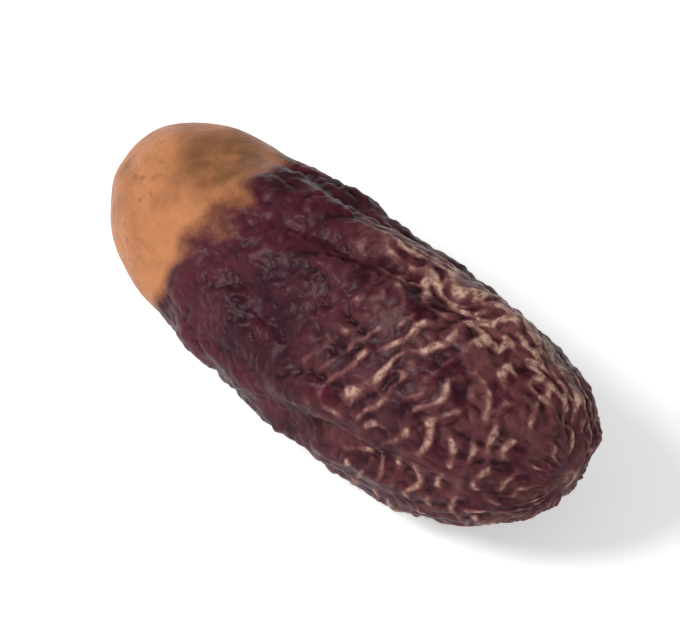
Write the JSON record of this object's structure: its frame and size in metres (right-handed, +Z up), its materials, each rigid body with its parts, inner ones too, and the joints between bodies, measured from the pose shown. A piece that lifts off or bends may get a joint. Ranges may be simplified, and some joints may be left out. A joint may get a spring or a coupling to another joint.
{
  "type": "dried date fruit",
  "caption": "Whole dried date of a two-toned kind, lying on its side: a firm tan stalk end and a soft, wrinkled maroon body, resting on a small flat spot.",
  "frame": {"origin": "under the middle of the fruit, on the surface that it rests on", "axes": "+Z up; +X along the fruit from its stalk end to its apex; the front is -Y"},
  "size_m": [0.046, 0.019, 0.0176],
  "materials": {
    "date_skin": "satin"
  },
  "bodies": {
    "root": {"date": "date_skin"}
  },
  "joints": []
}
